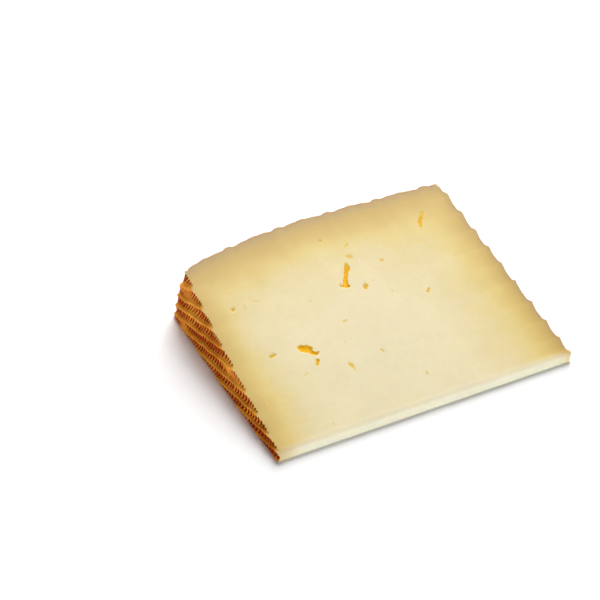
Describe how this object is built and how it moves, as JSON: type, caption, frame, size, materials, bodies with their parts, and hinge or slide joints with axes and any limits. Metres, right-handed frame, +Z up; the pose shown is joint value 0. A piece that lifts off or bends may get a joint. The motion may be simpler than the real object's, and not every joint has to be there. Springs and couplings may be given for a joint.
{
  "type": "hard cheese wedge",
  "caption": "Thin wedge of hard aged cheese lying on one cut face, with small eyes in the ivory paste and a plait-printed golden rind on three sides.",
  "frame": {"origin": "middle of the footprint, on the surface that the wedge lies on", "axes": "+X along the axis of the drum the wedge was cut from, towards its right flat; +Y from the blunt tip out to the drum's curved side; +Z up"},
  "size_m": [0.1148, 0.087, 0.0211],
  "materials": {
    "cheese": "satin"
  },
  "bodies": {
    "root": {"cheese_wedge": "cheese"}
  },
  "joints": []
}
